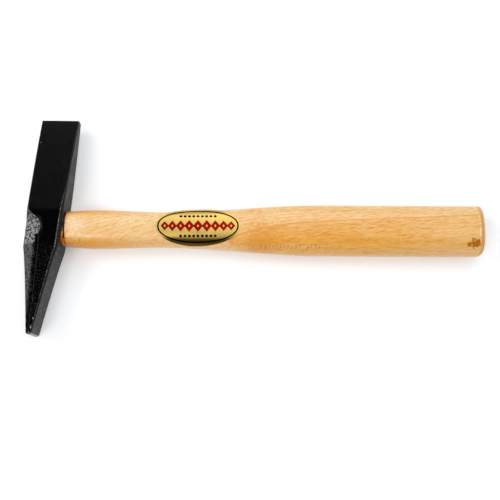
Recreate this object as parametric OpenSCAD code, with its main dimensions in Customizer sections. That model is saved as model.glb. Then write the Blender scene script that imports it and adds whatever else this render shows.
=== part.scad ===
// Upholstery hammer lying on one cheek: a forged, black painted head with a broad
// blade at one end and a narrow cross peen at the other, on a beech handle that is
// held in the eye by a wooden wedge and a steel cross wedge.
// The origin is under the eye's centre, on the surface that the cheek rests on.
// +X runs along the handle to its butt, +Y to the blade, +Z out of the upper cheek.

/* [Head] */
// From the eye's centre to the blade's edge
blade_reach = 67.2; // [50:0.1:90]
// From the eye's centre to the end of the peen
peen_reach = 62.2; // [45:0.1:85]
// Width of the head across the upper end of the peen, along the handle
head_w = 19.9; // [17:0.1:24]
// Thickness of the head over its two cheeks
head_t = 22.5; // [21:0.1:30]
// Width of the blade's edge, along the handle
blade_w = 22.2; // [18:0.1:32]
// Thickness of the blade's edge
blade_edge_t = 5.6; // [2:0.1:10]
// Width of the peen's end, along the handle
peen_end_w = 3.0; // [2.5:0.1:8]
// Thickness of the peen's end, from cheek to cheek
peen_end_t = 19.4; // [12:0.1:21]
// Height of the flat cheek above the eye's centre, where the blade starts to thin
cheek_up = 8.0; // [4:0.1:14]
// Depth of the cheek below the eye's centre, where the peen starts to narrow
cheek_down = 12.6; // [11.5:0.1:16]
// Lean of the head's centre line toward the handle, in degrees
head_lean = 4.5; // [0:0.1:7]
// Width of the sloping facet on each cheek's far side
facet_w = 7.6; // [3:0.1:8]
// Depth of that facet at the side of the head
facet_t = 2.6; // [1:0.1:3]
// Bevel of the head's long edges on the handle's side
edge_bevel = 1.3; // [0.5:0.1:2.5]
// Small bevel round the blade and along its long edges
blade_bevel = 0.5; // [0.2:0.1:1]

/* [Eye] */
// Length of the eye, along the head
eye_w = 19.0; // [15:0.1:19.2]
// Opening of the eye from cheek to cheek, on the handle's side
eye_t = 14.4; // [11:0.1:15]
// Widening of the eye on each side, at its far mouth
eye_flare = 0.5; // [0:0.1:0.8]
// Clearance between the eye and the tenon
eye_fit = 0.05; // [0.02:0.01:0.1]
// Depth of the trimmed tenon under the head's far side
tenon_recess = 0.2; // [0.1:0.1:1]

/* [Handle] */
// From the eye's centre to the handle's shoulder
shoulder_at = 11.8; // [11.4:0.1:14]
// From the eye's centre to the swell behind the shoulder
swell_at = 31; // [24:0.5:40]
// From the eye's centre to the waist
waist_at = 66; // [50:0.5:75]
// From the eye's centre to the start of the grip
grip_at = 162; // [130:0.5:190]
// From the eye's centre to the end of the butt
butt_reach = 261.7; // [235:0.1:320]
// Width of the handle at the shoulder
neck_w = 20.2; // [20:0.1:24]
// Thickness of the handle at the shoulder
neck_t = 17.4; // [16.4:0.1:21]
// Width of the swell
swell_w = 22.7; // [21:0.1:28]
// Thickness of the swell
swell_t = 18.6; // [17:0.1:22]
// Width of the waist
waist_w = 20.8; // [18:0.1:28]
// Thickness of the waist
waist_t = 16.8; // [14:0.1:21]
// Width of the handle where the grip starts
grip_w = 30.4; // [26:0.1:36]
// Thickness of the handle where the grip starts
grip_t = 22.0; // [17:0.1:22.4]
// Width of the handle at the butt
butt_w = 30.9; // [26:0.1:38]
// Thickness of the handle at the butt
butt_t = 22.2; // [17:0.1:22.4]
// Length of the butt's rounded end
butt_round = 5.3; // [2:0.1:10]
// How far the butt is cut out of square, in degrees
butt_slant = 2.2; // [0:0.1:5]

/* [Wedges] */
// Length of the wooden wedge, into the tenon
wood_wedge_len = 14.0; // [8:0.1:16]
// Thickness of the wooden wedge at its head
wood_wedge_t = 3.4; // [2:0.1:5]
// Width of the wooden wedge
wood_wedge_w = 18.2; // [12:0.1:19]
// Length of the steel wedge
steel_wedge_len = 11.0; // [6:0.1:14]
// Thickness of the steel wedge at its head
steel_wedge_t = 2.4; // [1.5:0.1:4]
// Width of the steel wedge, from cheek to cheek
steel_wedge_w = 10.5; // [6:0.1:13]
// Thickness of a wedge at its thin end
wedge_tip_t = 0.7; // [0.4:0.1:1.2]
// Clearance round a wedge
wedge_fit = 0.03; // [0.02:0.01:0.1]

/* [Label and lacquer] */
// Length of the oval label, along the handle
label_len = 49.0; // [30:0.5:60]
// Height of the label, seen square to the handle
label_h = 22.2; // [12:0.1:22.6]
// From the eye's centre to the middle of the label
label_at = 88.6; // [80:0.1:120]
// Thickness of the label's foil
label_t = 0.12; // [0.05:0.01:0.3]
// How far the label's upper edge stands off the wood
label_lift = 1.3; // [0:0.1:1.5]
// Clearance between the label and the wood
label_fit = 0.03; // [0.02:0.01:0.1]
// How far the lacquer at the eye stays inside the shoulder's outline
lacquer_inset = 0.3; // [0.2:0.05:0.4]

/* [Hidden] */
// Flat steps in each round end of the eye
eye_arc_steps = 20;
// Sides of the handle's section, and the power of its oval
section_sides = 48;
section_power = 2.5;
// How much the blade bulges between its cheek and its edge: 1 is a straight taper
blade_taper_power = 0.85;
// How much the peen's sides hollow between the cheek and the end: 1 is a straight taper
peen_taper_power = 0.87;
// Fullness of the butt's corners, seen on a cheek and from the side: 2 is an ellipse
butt_power_w = 2.7;
butt_power_t = 1.7;
// Fullness of the label's oval: 2 is an ellipse
label_power = 2.2;
// Share of the facet that is left at the cheek's upper end
facet_fade = 0.65;
// Extra length of a cut past the face that it leaves by
past = 1;
axis_z = head_t / 2;
lean = tan(head_lean);
peen_corner_r = 0.4 * peen_end_w;
butt_at = butt_reach - butt_round;

function mix(a, b, t) = a + (b - a) * t;
function clamped(t) = min(max(t, 0), 1);
function ease(t) = let (c = clamped(t)) c * c * (3 - 2 * c);
function ease_out(t) = 1 - pow(1 - clamped(t), 2);

// Half width of the head at a height y along it, before any bevel
function head_half_w(y) =
    y > -cheek_down
        ? mix(head_w, blade_w, (y + cheek_down) / (blade_reach + cheek_down)) / 2
        : mix(head_w, peen_end_w, pow((-cheek_down - y) / (peen_reach - cheek_down), peen_taper_power)) / 2;

// Half thickness of the head at a height y along it
function head_half_t(y) =
    let (to_edge = clamped((blade_reach - y) / (blade_reach - cheek_up)),
        to_end = clamped((-cheek_down - y) / (peen_reach - cheek_down)))
    y > cheek_up
        ? mix(blade_edge_t, head_t, pow(to_edge, blade_taper_power)) / 2
        : mix(head_t, peen_end_t, to_end) / 2;

// One eight-sided section of the head: far holds the bevel's width and depth on the
// side away from the handle, near holds them on the handle's side
function head_ring(y, half_w, half_t, far, near) =
    let (mid = y * lean, l = mid - half_w, r = mid + half_w)
    [[l + far[0], y, half_t], [l, y, half_t - far[1]], [l, y, far[1] - half_t],
     [l + far[0], y, -half_t], [r - near[0], y, -half_t], [r, y, near[1] - half_t],
     [r, y, half_t - near[1]], [r - near[0], y, half_t]];

function full_ring(y, far, near) = head_ring(y, head_half_w(y), head_half_t(y), far, near);

// Skins a list of rings that have the same number of points, each clockwise when it is
// seen from the last one's side
module loft(rings) {
    n = len(rings[0]);
    last = len(rings) - 1;
    sides = [for (i = [0:last - 1], j = [0:n - 1])
        let (a = i * n + j, b = i * n + (j + 1) % n) each [[a, b, b + n], [a, b + n, a + n]]];
    caps = [[for (j = [n - 1:-1:0]) j], [for (j = [0:n - 1]) last * n + j]];
    polyhedron([for (ring = rings) each ring], concat(sides, caps), convexity = 4);
}

// The forging before its eye is punched
module head_blank() {
    facet = [facet_w, facet_t];
    edge = [edge_bevel, edge_bevel];
    small = [blade_bevel, blade_bevel];
    end_facet = [0.3, 0.2] * peen_end_w;
    end_edge = [0.2, 0.2] * peen_end_w;
    peen_steps = 4;
    blade_steps = 6;
    peen_start = -peen_reach + peen_corner_r;
    peen_end = [for (a = [90:-30:30])
        let (y = peen_start - peen_corner_r * sin(a),
            half_w = peen_end_w / 2 - peen_corner_r * (1 - cos(a)),
            share = 2 * half_w / peen_end_w)
        head_ring(y, half_w, peen_end_t / 2, share * end_facet, share * end_edge)];
    peen = [for (i = [0:peen_steps]) let (t = i / peen_steps)
        full_ring(mix(peen_start, -cheek_down, t), mix(end_facet, facet, t), mix(end_edge, edge, t))];
    cheek = [full_ring(0, facet, edge), full_ring(cheek_up, facet_fade * facet, edge)];
    blade = [for (i = [0:blade_steps]) let (t = i / blade_steps,
            y = mix(cheek_up + 2 * blade_bevel, blade_reach - blade_bevel, t))
        full_ring(y, small, mix(edge, small, t))];
    blade_edge = head_ring(blade_reach, blade_w / 2 - blade_bevel, blade_edge_t / 2 - blade_bevel,
        small, small);
    loft(concat(peen_end, peen, cheek, blade, [blade_edge]));
}

// An oval with straight long sides and round ends, square to X at x
function eye_ring(x, w, t) =
    [for (side = [1, -1], i = [0:eye_arc_steps]) let (a = 90 - 180 * i / eye_arc_steps)
        side * [side * x, (w - t) / 2 + t / 2 * cos(a), t / 2 * sin(a)]];

// The eye's inside or the tenon's outside: straight by the handle, flared at the far side
module eye_form(grow, near_end) {
    far_end = head_half_w(0) + lean * eye_w;
    w = eye_w + 2 * grow;
    t = eye_t + 2 * grow;
    loft([eye_ring(-far_end, w, t + 2 * eye_flare), eye_ring(0, w, t), eye_ring(near_end, w, t)]);
}

// Everything from a line along the head's far side, moved in by inset, to the handle
module inside_far_side(inset) {
    low = -cheek_down;
    high = blade_reach;
    reach = 3 * head_w;
    linear_extrude(2 * head_t, center = true) polygon([
        [low * lean - head_half_w(low) + inset, low],
        [reach, low],
        [reach, high],
        [high * lean - head_half_w(high) + inset, high]]);
}

// A tapered wedge: its head is at x = 0, it points to +X and its width is across z
module wedge(len, head_t, w, grow) {
    half = head_t / 2 + grow;
    tip = wedge_tip_t / 2 + grow;
    end = len + grow;
    linear_extrude(w + 2 * grow, center = true)
        polygon([[-past, half], [0, half], [end, tip], [end, -tip], [0, -half], [-past, -half]]);
}

module wood_wedge_form(w, grow) {
    translate([-head_half_w(0), 0, 0]) rotate([90, 0, 0]) wedge(wood_wedge_len, wood_wedge_t, w, grow);
}

module steel_wedge_form(grow) {
    translate([-head_half_w(0), 0, 0]) wedge(steel_wedge_len, steel_wedge_t, steel_wedge_w, grow);
}

// A size of the handle at x, from that size at the neck, swell, waist, grip and butt
function along(x, neck, swell, waist, grip, butt) =
    x < swell_at ? mix(neck, swell, ease_out((x - shoulder_at) / (swell_at - shoulder_at)))
    : x < waist_at ? mix(swell, waist, ease((x - swell_at) / (waist_at - swell_at)))
    : x < grip_at ? mix(waist, grip, ease((x - waist_at) / (grip_at - waist_at)))
    : mix(grip, butt, (x - grip_at) / (butt_at - grip_at));
function handle_half_w(x) = along(x, neck_w, swell_w, waist_w, grip_w, butt_w) / 2;
function handle_half_t(x) = along(x, neck_t, swell_t, waist_t, grip_t, butt_t) / 2;

// Share of the section that is left at a distance from the start of the rounded end
function rounded(x, power) =
    pow(1 - pow(clamped((x - butt_at) / butt_round), power), 1 / power);

function powered(v) = sign(v) * pow(abs(v), 2 / section_power);

function handle_ring(x) =
    let (half_w = handle_half_w(x) * rounded(x, butt_power_w),
        half_t = handle_half_t(x) * rounded(x, butt_power_t),
        slant = tan(butt_slant) * clamped((x - grip_at) / (butt_at - grip_at)))
    [for (i = [0:section_sides - 1]) let (a = -360 * i / section_sides, y = half_w * powered(cos(a)))
        [x + slant * y, y, half_t * powered(sin(a))]];

function steps(from, to, count) = [for (i = [0:count - 1]) mix(from, to, i / count)];

module handle_body() {
    rounding = [for (share = [0, 0.3, 0.55, 0.75, 0.9, 0.97, 0.995]) butt_at + share * butt_round];
    loft([for (x = concat(steps(shoulder_at, swell_at, 6), steps(swell_at, waist_at, 8),
            steps(waist_at, grip_at, 14), steps(grip_at, butt_at, 2), rounding))
        handle_ring(x)]);
}

module tenon() {
    intersection() {
        eye_form(-eye_fit, shoulder_at + past);
        inside_far_side(tenon_recess);
    }
}

// Height of the label over the handle's axis: its upper half is on a wider oval
function label_z(x, y, grow) =
    let (half_w = handle_half_w(x) + grow + (y > 0 ? label_lift : 0), half_t = handle_half_t(x) + grow)
    half_t * pow(1 - pow(min(abs(y) / half_w, 1), section_power), 1 / section_power);

// One closed section of the label at x: the outer face from low to high, then the inner
function label_ring(u) =
    let (rows = 20, x = label_at + u * label_len / 2,
        half_h = label_h / 2 * pow(1 - pow(abs(u), label_power), 1 / label_power),
        ys = [for (i = [0:rows]) 0.3 * label_lift - half_h * cos(180 * i / rows)])
    concat([for (y = ys) [x, y, label_z(x, y, label_fit + label_t)]],
        [for (i = [rows:-1:0]) [x, ys[i], label_z(x, ys[i], label_fit)]]);

module hammer_head() {
    color("#18181a") translate([0, 0, axis_z]) difference() {
        head_blank();
        eye_form(0, 3 * head_w);
    }
}

module handle() {
    color("#e8b878") translate([0, 0, axis_z]) difference() {
        union() {
            handle_body();
            tenon();
        }
        wood_wedge_form(2 * eye_w, wedge_fit);
        steel_wedge_form(wedge_fit);
    }
}

module wood_wedge() {
    color("#b98b52") translate([0, 0, axis_z]) intersection() {
        difference() {
            wood_wedge_form(wood_wedge_w, 0);
            steel_wedge_form(wedge_fit);
        }
        inside_far_side(tenon_recess);
    }
}

module steel_wedge() {
    color("#8f9194") translate([0, 0, axis_z]) intersection() {
        steel_wedge_form(0);
        inside_far_side(tenon_recess);
    }
}

module eye_lacquer() {
    outline = [for (p = handle_ring(shoulder_at))
        [p[1] - lacquer_inset * sign(p[1]), p[2] - lacquer_inset * sign(p[2])]];
    color("#a86412") translate([0, 0, axis_z]) difference() {
        rotate([90, 0, 90]) linear_extrude(shoulder_at) polygon(outline);
        eye_form(-eye_fit, shoulder_at + past);
        head_blank();
    }
}

module foil_label() {
    color("#e2c26a") translate([0, 0, axis_z]) loft([for (a = [5:10:175]) label_ring(-cos(a))]);
}

hammer_head();
handle();
wood_wedge();
steel_wedge();
eye_lacquer();
foil_label();
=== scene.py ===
# %% [markdown]
# Upholstery hammer. The real tool has a forged steel head under black enamel, a beech
# handle with an oval grip, a wooden and a steel wedge that hold the one on the other,
# a bead of amber lacquer round the eye and a gold foil label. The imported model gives
# every piece its place and size. This lesson dresses each piece in turn.
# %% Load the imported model
import math

import bmesh
import bpy
from mathutils import Matrix, Vector, noise


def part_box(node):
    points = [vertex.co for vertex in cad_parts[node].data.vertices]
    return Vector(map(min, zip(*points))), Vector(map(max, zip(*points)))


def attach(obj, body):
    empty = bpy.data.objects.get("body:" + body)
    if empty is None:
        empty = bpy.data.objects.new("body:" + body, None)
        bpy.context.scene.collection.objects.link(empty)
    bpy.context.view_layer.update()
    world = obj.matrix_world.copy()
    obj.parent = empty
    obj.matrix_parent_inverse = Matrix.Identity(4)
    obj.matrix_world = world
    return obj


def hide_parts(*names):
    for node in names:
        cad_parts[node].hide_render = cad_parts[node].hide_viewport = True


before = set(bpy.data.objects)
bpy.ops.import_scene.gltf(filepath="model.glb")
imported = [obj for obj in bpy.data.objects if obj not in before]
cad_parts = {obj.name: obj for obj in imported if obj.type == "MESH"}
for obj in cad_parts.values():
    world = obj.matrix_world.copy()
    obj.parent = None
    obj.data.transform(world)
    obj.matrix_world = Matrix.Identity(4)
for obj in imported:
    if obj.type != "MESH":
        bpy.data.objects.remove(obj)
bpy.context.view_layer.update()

# %% [markdown]
# Lengths are in millimetres, as they were measured on the tool, and each piece is
# turned to metres when it is finished. The middle of the head's thickness is also the
# handle's axis, so every piece is drawn round that axis and lifted at the end.
# %% Units and blending
MM = 0.001
head_low, head_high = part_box("hammer_head")
handle_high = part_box("handle")[1]
axis_z = (head_low.z + head_high.z) / 2
print("Height of the handle's axis:", round(axis_z / MM, 2), "mm")


def mix(a, b, t):
    return a + (b - a) * t


def clamped(t):
    return min(max(t, 0.0), 1.0)


def ease(t):
    """Goes from 0 to 1 with a soft start and a soft end."""
    t = clamped(t)
    return t * t * (3 - 2 * t)


# %% [markdown]
# The camera stands over the middle of the handle and leans a little toward the head,
# which is why the head shows the side that faces the handle. It could be placed by
# eye. Here its place was worked out from the tool's outline in the photograph, for a
# 50 mm lens on a 36 mm sensor, so that the perspective is the same.
# %% Camera
camera_place = (96.0, -101.0, 412.9)
camera_turn = (12.51, -3.22, -0.47)
camera = bpy.data.objects.new("camera", bpy.data.cameras.new("camera"))
camera.location = [c * MM for c in camera_place]
camera.rotation_euler = [math.radians(a) for a in camera_turn]
camera.data.lens = 50
camera.data.sensor_width = 36
camera.data.clip_start = 0.01
bpy.context.scene.collection.objects.link(camera)
bpy.context.scene.camera = camera
bpy.context.scene.view_settings.view_transform = "Standard"
print("Camera height:", camera_place[2], "mm")


# %% [markdown]
# The hammer lies in a white light tent. Two soft boxes to its left, one beyond the
# head and one before it, make the shape. A box far to the right and one beyond the
# handle lift the shadows, and a wide dim panel hangs over the butt. One big lamp above
# would be simpler, but the flat cheeks would mirror it. These five stand clear of that,
# so the enamel looks black where it lies flat and only its slopes shine.
# %% Lamps
hammer_middle = Vector((0.1, 0, 0))


def soft_box(name, place, size, glow):
    """A square lamp that looks at the hammer, in metres. A glow of 1 is that of white."""
    lamp = bpy.data.lights.new(name, "AREA")
    lamp.size = size
    lamp.energy = glow * math.pi * size ** 2
    holder = bpy.data.objects.new(name, lamp)
    holder.location = place
    out = Vector(place) - hammer_middle
    holder.rotation_euler = out.to_track_quat("Z", "Y").to_euler()
    bpy.context.scene.collection.objects.link(holder)
    print(name, "gives", round(lamp.energy, 1), "W from", round(out.length, 2), "m")


soft_box("left_box", (-0.66, 0.24, 0.74), 0.46, 5.4)
soft_box("high_box", (-0.28, -0.38, 0.78), 0.34, 7.3)
soft_box("right_box", (0.95, 0.10, 0.90), 0.36, 1.8)
soft_box("top_panel", (0.30, 0.10, 0.60), 0.56, 1.1)
soft_box("far_box", (0.22, 0.56, 0.62), 0.50, 1.6)

# %% [markdown]
# The tent's walls, the floor and every finish are small graphs of nodes. They could be
# drawn by hand in the shader editor. In a script one function that adds a node, sets
# it, joins its inputs and gives back one of its outputs is enough, and each finish
# then reads as a list of what is laid on what.
# %% Nodes and colours
SMOOTH = {"interpolation_type": "SMOOTHSTEP"}


def srgb(code):
    """A colour written as #rrggbb, as the linear values that a shader takes."""
    channels = [int(code[i:i + 2], 16) / 255 for i in (1, 3, 5)]
    linear = [c / 12.92 if c <= 0.04045 else ((c + 0.055) / 1.055) ** 2.4 for c in channels]
    return (*linear, 1.0)


def add_node(tree, kind, inputs=(), out=0, **settings):
    """Adds a node and gives one of its outputs. An input takes a value or a socket."""
    node = tree.nodes.new("ShaderNode" + kind)
    for name, value in settings.items():
        setattr(node, name, value)
    pairs = inputs.items() if isinstance(inputs, dict) else enumerate(inputs)
    for key, value in pairs:
        if isinstance(value, bpy.types.NodeSocket):
            tree.links.new(value, node.inputs[key])
        else:
            node.inputs[key].default_value = value
    return node.outputs[out] if node.outputs else None


print("White in linear values:", srgb("#ffffff"))

# %% [markdown]
# The tent's walls glow low down and end in a dark opening above, through which the
# picture is taken. A panorama of a studio could light the scene, but two blends by
# direction do it: one by height, one from the near wall to the far one. The camera
# itself sees plain white.
# %% Walls of the tent
far_wall, near_wall = 0.56, 0.55
wall_top, wall_full = 0.86, 0.42
wall_turn = 0.5
world = bpy.data.worlds.new("light_tent")
world.use_nodes = True
bpy.context.scene.world = world
tree = world.node_tree
tree.nodes.clear()
toward = add_node(tree, "SeparateXYZ", [add_node(tree, "TexCoord", out="Generated")]).node.outputs
low_down = add_node(tree, "MapRange", [toward["Z"], wall_top, wall_full, 0, 1], **SMOOTH)
wall = add_node(tree, "MapRange", [toward["Y"], -wall_turn, wall_turn, near_wall, far_wall], **SMOOTH)
strength = add_node(tree, "Math", [low_down, wall], operation="MULTIPLY")
lit = add_node(tree, "Background", {"Color": srgb("#ffffff"), "Strength": strength})
seen = add_node(tree, "Background", {"Color": srgb("#ffffff"), "Strength": 1.0})
ray = add_node(tree, "LightPath", out="Is Camera Ray")
add_node(tree, "OutputWorld", [add_node(tree, "MixShader", [ray, lit, seen])])
print("Tent walls glow", near_wall, "to", far_wall)

# %% [markdown]
# The hammer lies on a sweep of matt white paper. More light would make it pure white, but
# it would also burn out the pale beech. So the paper glows a little by itself, only
# for rays from the camera, a mirror or a glass, and the hammer's shadow stays on it.
# %% Floor
floor_size = 6.0
floor_lift = 0.245


def loose_piece(bm, name):
    """An object from a bmesh, with smooth faces."""
    mesh = bpy.data.meshes.new(name)
    bm.to_mesh(mesh)
    bm.free()
    mesh.shade_smooth()
    piece = bpy.data.objects.new(name, mesh)
    bpy.context.scene.collection.objects.link(piece)
    return piece


def new_material(name):
    """A material with an empty tree, and the tree."""
    material = bpy.data.materials.new(name)
    material.use_nodes = True
    material.node_tree.nodes.clear()
    return material, material.node_tree


floor_bm = bmesh.new()
bmesh.ops.create_grid(floor_bm, x_segments=1, y_segments=1, size=floor_size / 2)
floor = loose_piece(floor_bm, "floor")
white_paper, tree = new_material("white_paper_sweep")
ray = add_node(tree, "LightPath").node.outputs
seen = ray["Is Camera Ray"]
for other in ("Is Glossy Ray", "Is Transmission Ray"):
    seen = add_node(tree, "Math", [seen, ray[other]], operation="MAXIMUM")
lift = add_node(tree, "Math", [seen, floor_lift], operation="MULTIPLY")
paper = add_node(tree, "BsdfDiffuse", {"Color": srgb("#f6f9fd")})
glow = add_node(tree, "Emission", {"Color": srgb("#ffffff"), "Strength": lift})
add_node(tree, "OutputMaterial", [add_node(tree, "AddShader", [paper, glow])])
floor.data.materials.append(white_paper)
print("Floor:", floor_size, "m square")

# %% [markdown]
# The head is one forging. It could be cut from a block, but a smith draws it out
# along its length, so it is drawn here as cross sections that change along Y: a thin
# wide one at the blade, a thick square one at the eye and a narrow deep one at the
# peen. Powers below 1 make the peen a little hollow in width and the blade a little
# full in thickness. The middle line leans: the blade is toward the handle, the peen away.
# %% Sizes of the head
box_gap = 0.02
blade_reach = head_high.y / MM
peen_reach = -head_low.y / MM - box_gap
head_thick = (head_high.z - head_low.z) / MM
head_wide = 19.9
blade_wide = 22.2
blade_edge_thick = 5.6
peen_wide = 3.0
peen_thick = 19.4
cheek_up = 8.0
cheek_down = 12.6
peen_hollow = 0.87
blade_full = 0.85
lean = math.tan(math.radians(4.5))
print("Blade to peen:", round(blade_reach + peen_reach, 1), "mm")


def head_half_width(y):
    if y > -cheek_down:
        return mix(head_wide, blade_wide, (y + cheek_down) / (blade_reach + cheek_down)) / 2
    drawn_out = (-cheek_down - y) / (peen_reach - cheek_down)
    return mix(head_wide, peen_wide, clamped(drawn_out) ** peen_hollow) / 2


def head_half_thickness(y):
    if y > cheek_up:
        left = clamped((blade_reach - y) / (blade_reach - cheek_up))
        return mix(blade_edge_thick, head_thick, left ** blade_full) / 2
    return mix(head_thick, peen_thick, clamped((-cheek_down - y) / (peen_reach - cheek_down))) / 2


# %% [markdown]
# Each section starts as an eight-sided face. Its corners toward the far side are wide
# facets at the cheeks, those toward the handle are small bevels, and both shrink to
# the crisp edges of the blade. A rectangle with a bevel modifier would round all four
# alike, so the corners are placed here and the bevel operator only softens them.
# %% Sections of the head
# Each corner is cut by so much across the head and so much down its thickness.
facet, peen_facet = Vector((7.6, 2.6)), Vector((0.9, 0.6))
edge_bevel, peen_bevel = Vector((1.5, 1.3)), Vector((0.6, 0.6))
blade_bevel = Vector((0.5, 0.5))
facet_fades = (1.0, 10.5)
crisp_from = 20.0
far_soft, far_soft_end = 1.9, 0.25
crisp, crisp_end = 0.4, 0.15
corner_steps = 4


def head_section(bm, y, shrink_w, shrink_t):
    """One rounded section, as the edges of its outline and the face inside them."""
    half_w = head_half_width(y) - shrink_w
    half_t = head_half_thickness(y) - shrink_t
    forged = clamped((y + peen_reach) / (peen_reach - cheek_down))
    ground = ease((y - facet_fades[0]) / (facet_fades[1] - facet_fades[0]))
    to_edge = ease((y - cheek_up) / crisp_from)
    share = half_w / head_half_width(y)
    far = share * mix(mix(peen_facet, facet, forged), blade_bevel, ground)
    near = share * mix(mix(peen_bevel, edge_bevel, forged), blade_bevel, to_edge)
    left, right = y * lean - half_w, y * lean + half_w
    outline = [(left + far.x, half_t), (left, half_t - far.y),
               (left, far.y - half_t), (left + far.x, -half_t),
               (right - near.x, -half_t), (right, near.y - half_t),
               (right, half_t - near.y), (right - near.x, half_t)]
    corners = [bm.verts.new((x, y, z)) for x, z in outline]
    bm.faces.new(corners)
    soft = share * mix(mix(far_soft_end, far_soft, forged), crisp_end, ground)
    hard = share * mix(mix(crisp_end, crisp, forged), crisp_end, to_edge)
    for group, offset in (([corners[0], corners[3]], soft), (corners[1:3] + corners[4:], hard)):
        rounded = bmesh.ops.bevel(bm, geom=group, offset=offset, offset_type="OFFSET",
                                  segments=corner_steps, profile=0.5, affect="VERTICES", material=-1)
    face = rounded["verts"][0].link_faces[0]
    return list(face.edges), face


print("Head at the eye:", round(2 * head_half_width(0), 1), "by",
      round(2 * head_half_thickness(0), 1), "mm")

# %% [markdown]
# A forging has no seams. Bridging joins the outline of each section to the next, and
# the faces inside are deleted. A skin made by hand would need its own list of faces.
# The two ends are rounded by a few sections that draw in, and their caps are inset
# once, so that subdivision keeps them crisp.
# %% Join the sections
peen_round, peen_thinned = 1.1, 0.5
blade_round, blade_thinned = 0.55, 1.0
cap_inset = 0.15
peen_steps, cheek_steps, blade_steps = 20, 12, 18
peen_start = -peen_reach + peen_round
blade_start = blade_reach - blade_round
cheek_past = cheek_up + 3


def steps(start, end, count):
    return [mix(start, end, i / count) for i in range(count)]


def rounded_end(start, toward, radius, thinned, count=4):
    """Places round an end of the head, each with the width and thickness it loses."""
    places = []
    for i in range(1, count + 1):
        angle = math.radians(90 * i / count)
        lost = radius * (1 - math.cos(angle))
        places.append((start + toward * radius * math.sin(angle), lost, thinned * lost))
    return places


middle = (steps(peen_start, -cheek_down, peen_steps) + steps(-cheek_down, cheek_past, cheek_steps)
          + steps(cheek_past, blade_start, blade_steps) + [blade_start])
stations = (rounded_end(peen_start, -1, peen_round, peen_thinned)[::-1]
            + [(y, 0, 0) for y in middle]
            + rounded_end(blade_start, 1, blade_round, blade_thinned))
head_bm = bmesh.new()
sections = [head_section(head_bm, *station) for station in stations]
for _, face in sections[1:-1]:
    bmesh.ops.delete(head_bm, geom=[face], context="FACES_ONLY")
for (before, _), (after, _) in zip(sections, sections[1:]):
    bmesh.ops.bridge_loops(head_bm, edges=before + after)
for _, cap in (sections[0], sections[-1]):
    bmesh.ops.inset_region(head_bm, faces=[cap], thickness=cap_inset, use_even_offset=True)
bmesh.ops.recalc_face_normals(head_bm, faces=head_bm.faces)
open_edges = sum(not edge.is_manifold for edge in head_bm.edges)
print("Head:", len(sections), "sections,", len(head_bm.faces), "faces,", open_edges, "open edges")

# %% [markdown]
# A forged surface isn't flat. A bump in the material would shade it, but its outline
# would stay straight. So subdivision gives the mesh enough points, and two sizes of
# noise push them in: broad hammer marks and small pits. The blade was ground after
# forging, so it is pushed far less than the cheeks and the peen.
# %% Forge marks
hammer_mark, hammer_mark_size = 0.16, 7.0
pit, pit_size = 0.05, 1.6
ground_rough = 0.15
blade_fade = 3
cheek_from, cheek_soft = 0.25, 0.5


def baked(bm, modifier_type, **settings):
    """The bmesh after one modifier has worked on it."""
    piece = loose_piece(bm, "work")
    modifier = piece.modifiers.new("work", modifier_type)
    for name, value in settings.items():
        setattr(modifier, name, value)
    graph = bpy.context.evaluated_depsgraph_get()
    result = bmesh.new()
    result.from_mesh(piece.evaluated_get(graph).to_mesh())
    mesh = piece.data
    bpy.data.objects.remove(piece)
    bpy.data.meshes.remove(mesh)
    return result


def forged_share(point, normal):
    """1 on the forged cheeks and the peen, 0 on the ground blade and the sides."""
    rough_end = 1 - ease((point.y - cheek_up) / blade_fade)
    return rough_end * ease((abs(normal.z) - cheek_from) / cheek_soft)


head_bm = baked(head_bm, "SUBSURF", levels=2, render_levels=2)
head_bm.normal_update()
for vert in head_bm.verts:
    rough = mix(ground_rough, 1.0, forged_share(vert.co, vert.normal))
    push = hammer_mark * noise.noise(vert.co / hammer_mark_size) + pit * noise.noise(vert.co / pit_size)
    vert.co -= vert.normal * rough * abs(push)
print("Head after forging:", len(head_bm.verts), "points")

# %% [markdown]
# Holes, tenons and slots are made as in a workshop, with a tool shape. A face is pulled
# out step by step to make the tool, and the boolean modifier cuts with it or joins it.
# The bmesh operators have no boolean of their own, so the shapes go through an object
# and back.
# %% Pull a shape out and cut with it
def combined(bm, tool, operation):
    """The bmesh joined with a tool shape, or cut by it."""
    cutter = loose_piece(tool, "tool")
    result = baked(bm, "BOOLEAN", object=cutter, operation=operation, solver="MANIFOLD")
    mesh = cutter.data
    bpy.data.objects.remove(cutter)
    bpy.data.meshes.remove(mesh)
    return result


def extruded(bm, face, shift, grow=(1, 1, 1)):
    """Pulls a face out by a shift, then scales it about the axis. Gives the new face."""
    first = all(edge.is_boundary for edge in face.edges)
    made = bmesh.ops.extrude_face_region(bm, geom=[face])["geom"]
    if not first:
        bmesh.ops.delete(bm, geom=[face], context="FACES_ONLY")
    ring = [part for part in made if isinstance(part, bmesh.types.BMVert)]
    bmesh.ops.translate(bm, verts=ring, vec=Vector(shift))
    bmesh.ops.scale(bm, verts=ring, vec=Vector(grow))
    return next(part for part in made if isinstance(part, bmesh.types.BMFace))


print("Head before its eye:", len(head_bm.faces), "faces")

# %% [markdown]
# The eye is an oval hole that flares toward the far side, where the wedges spread the
# tenon. The head could be built round it, but a smith punches it, so it is cut. Its oval
# has straight long sides and round ends: a circle whose halves are moved apart. The
# same form, a little smaller, serves again for the tenon.
# %% Cut the eye
eye_wide = 19.0
eye_high = 14.4
eye_flare = 0.5
eye_sides = 64
far_mouth = head_half_width(0) + lean * eye_wide
past_mouth = 2
tool_reach = 3 * head_wide


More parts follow.
